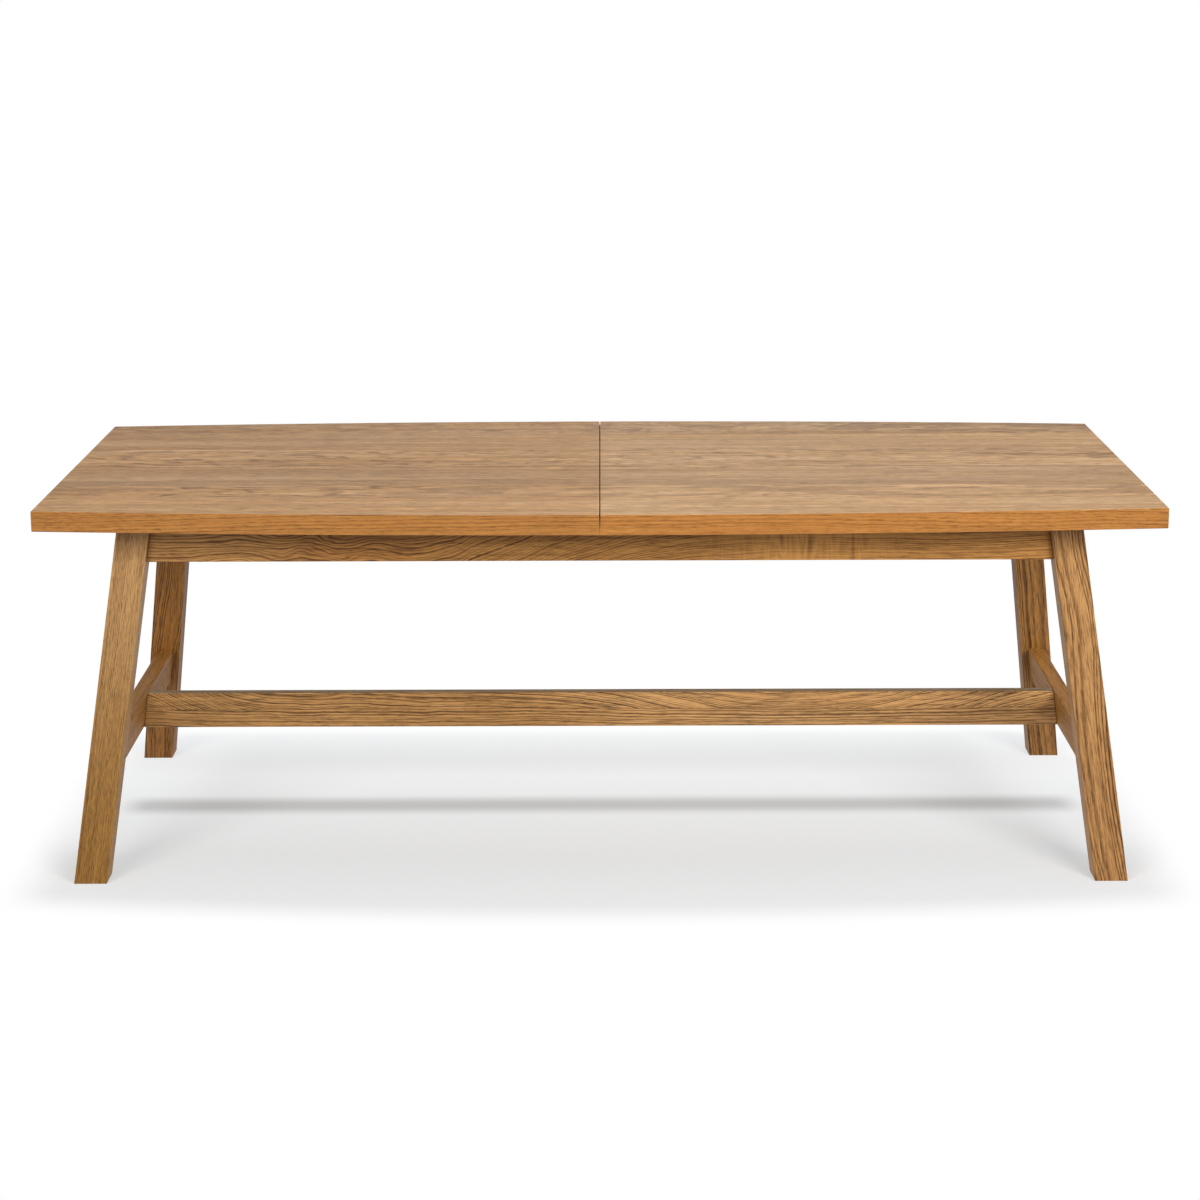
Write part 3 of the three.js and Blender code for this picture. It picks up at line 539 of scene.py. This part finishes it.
FLOOR_DIFFUSE, FLOOR_GLOW = 0.40, (0.356, 0.366, 0.372)
t = Tree("pale_floor")
t.nt.nodes.remove(t.bsdf)
tc = t.nt.nodes.new("ShaderNodeTexCoord").outputs["Object"]
fx, fy, fz = t.split(tc)
far_x = t.math("ABSOLUTE", fx)
# painted shadow of the table top: a grey patch the shape of the top's footprint, with the floor glowing white beyond it
painted_top_shadow = t.math("MULTIPLY", smooth(t, far_x, 1.20, 1.06), t.math("MULTIPLY", smooth(t, fy, 0.66, 0.59), smooth(t, t.math("MULTIPLY_ADD", t.math("MULTIPLY", fx, fx), 0.07, t.math("MULTIPLY", fy, -1.0)), 0.75, 0.60)))
# painted shadow of the stretcher: a soft dark strip on the floor right beneath it, taken out of the floor's glow
painted_stretcher_shadow = t.math("MULTIPLY", smooth(t, t.math("ABSOLUTE", t.math("SUBTRACT", fy, 0.045)), 0.085, 0.005), smooth(t, far_x, 1.06, 0.98))
white = t.math("SUBTRACT", 1.0, painted_top_shadow)
diffuse = t.nt.nodes.new("ShaderNodeBsdfDiffuse")
t.put(diffuse.inputs[0], (FLOOR_DIFFUSE, FLOOR_DIFFUSE, FLOOR_DIFFUSE, 1))
glow = t.nt.nodes.new("ShaderNodeEmission")
t.put(glow.inputs[0], (*FLOOR_GLOW, 1))
# the glow strength rises towards the back: painted light that evens out the lamps' fall-off across the floor
t.put(glow.inputs[1], t.math("MULTIPLY_ADD", painted_stretcher_shadow, -0.77, t.math("MULTIPLY_ADD", fy, 0.73, 1.48)))
both = t.nt.nodes.new("ShaderNodeAddShader")
t.nt.links.new(diffuse.outputs[0], both.inputs[0])
t.nt.links.new(glow.outputs[0], both.inputs[1])
bright = t.nt.nodes.new("ShaderNodeEmission")
t.put(bright.inputs[0], (1, 1, 1, 1))
bright.inputs[1].default_value = 1.0
final = t.nt.nodes.new("ShaderNodeMixShader")
t.put(final.inputs[0], white)
t.nt.links.new(both.outputs[0], final.inputs[1])
t.nt.links.new(bright.outputs[0], final.inputs[2])
clear = t.nt.nodes.new("ShaderNodeBsdfTransparent")
one_sided = t.nt.nodes.new("ShaderNodeMixShader")
t.nt.links.new(t.nt.nodes.new("ShaderNodeNewGeometry").outputs["Backfacing"], one_sided.inputs[0])
t.nt.links.new(final.outputs[0], one_sided.inputs[1])
t.nt.links.new(clear.outputs[0], one_sided.inputs[2])
t.nt.links.new(one_sided.outputs[0], t.out.inputs[0])
me = bpy.data.meshes.new("floor")
S = 120.0
me.from_pydata([(-S, -S, -0.0005), (S, -S, -0.0005), (S, S, -0.0005), (-S, S, -0.0005)], [], [(0, 1, 2, 3)])
floor = bpy.data.objects.new("floor", me)
SCENE.collection.objects.link(floor)
floor.data.materials.append(t.mat)
floor.visible_diffuse = floor.visible_glossy = floor.visible_shadow = False  # the bounce from below is the world's

# a white studio wall all round, far away: it is only seen, and lights nothing
t = Tree("white_wall")
t.nt.nodes.remove(t.bsdf)
wall_glow = t.nt.nodes.new("ShaderNodeEmission")
t.put(wall_glow.inputs[0], (1, 1, 1, 1))
t.nt.links.new(wall_glow.outputs[0], t.out.inputs[0])
bm = bmesh.new()
bmesh.ops.create_uvsphere(bm, u_segments=48, v_segments=24, radius=70.0)
me = bpy.data.meshes.new("wall")
bm.to_mesh(me)
bm.free()
wall = bpy.data.objects.new("wall", me)
SCENE.collection.objects.link(wall)
wall.data.materials.append(t.mat)
wall.visible_diffuse = wall.visible_glossy = wall.visible_shadow = wall.visible_transmission = False

WORLD_ZENITH, WORLD_RIM, WORLD_BELOW = 0.27, 0.65, 0.62
world = bpy.data.worlds.new("studio")
SCENE.world = world
world.use_nodes = True
wn = world.node_tree
bg = wn.nodes["Background"]
tc = wn.nodes.new("ShaderNodeTexCoord")
sep = wn.nodes.new("ShaderNodeSeparateXYZ")
wn.links.new(tc.outputs["Generated"], sep.inputs[0])
up = wn.nodes.new("ShaderNodeMapRange")
up.interpolation_type = "SMOOTHSTEP"
wn.links.new(sep.outputs[2], up.inputs["Value"])
for key, val in (("From Min", 0.05), ("From Max", 0.50), ("To Min", WORLD_RIM), ("To Max", WORLD_ZENITH)):
    up.inputs[key].default_value = val
low = wn.nodes.new("ShaderNodeMapRange")
wn.links.new(sep.outputs[2], low.inputs["Value"])
for key, val in (("From Min", -0.02), ("From Max", 0.0), ("To Min", WORLD_BELOW)):
    low.inputs[key].default_value = val
wn.links.new(up.outputs[0], low.inputs["To Max"])
wn.links.new(low.outputs[0], bg.inputs[1])
bg.inputs[0].default_value = (1, 1, 1, 1)


def soft(name, where, at, size, power, colour=(1, 1, 1), gleam=False):
    li = bpy.data.lights.new(name, "AREA")
    li.shape, li.size, li.size_y = "RECTANGLE", size[0], size[1]
    li.energy, li.color = power, colour
    ob = bpy.data.objects.new(name, li)
    SCENE.collection.objects.link(ob)
    ob.location = where
    ob.rotation_euler = (Vector(at) - Vector(where)).to_track_quat("-Z", "Y").to_euler()
    ob.visible_camera = False
    ob.visible_glossy = gleam  # a satin top shows a wide soft sheen, not the lamps
    return ob


LIGHTS = {"key_left": 152.0, "key_right": 228.0, "overhead": 65.0, "end_left": 130.0, "end_right": 160.0, "back": 5.0}
soft("key_left", (-2.6, -4.6, 2.4), (0, 0, 0.4), (2.0, 1.6), LIGHTS["key_left"])
soft("key_right", (2.6, -4.6, 2.4), (0, 0, 0.4), (2.0, 1.6), LIGHTS["key_right"])
soft("overhead", (0.0, -0.4, 3.6), (0, 0, 0.6), (3.4, 2.0), LIGHTS["overhead"], gleam=True)
ends = [soft("end_left", (-3.7, 0.0, 1.15), (0, 0, 0.2), (0.3, 0.9), LIGHTS["end_left"]), soft("end_right", (3.7, 0.0, 1.15), (0, 0, 0.2), (0.3, 0.9), LIGHTS["end_right"])]
spared = bpy.data.collections.new("floor_only")
spared.objects.link(floor)
for lamp in ends:  # the end lamps leave the floor alone, or each foot would throw a long streak to the next
    lamp.light_linking.receiver_collection = spared
spared.collection_objects[0].light_linking.link_state = "EXCLUDE"
soft("back", (0.0, 4.8, 2.2), (0, 0, 0.4), (4.0, 1.2), LIGHTS["back"], gleam=True)

# ------------------------------------------------------------------ camera
cam_data = bpy.data.cameras.new("camera")
cam_data.sensor_width = 36.0
cam_data.lens = 2830.57 * 36.0 / 1200.0
cam_data.clip_end = 400.0
cam = bpy.data.objects.new("camera", cam_data)
SCENE.collection.objects.link(cam)
right = Vector((0.999995298, 0.0000763583, -0.00306554337))
down = Vector((-0.00296776794, -0.2275247, -0.973767787))
ahead = Vector((-0.000771842, 0.973772307, -0.227523404))
rot = Matrix((right, -down, -ahead)).transposed()
cam.matrix_world = Matrix.Translation((0.0042043, -5.8515878, 1.8340905)) @ rot.to_4x4()
SCENE.camera = cam
SCENE.view_settings.view_transform = "Standard"
SCENE.view_settings.look = "None"
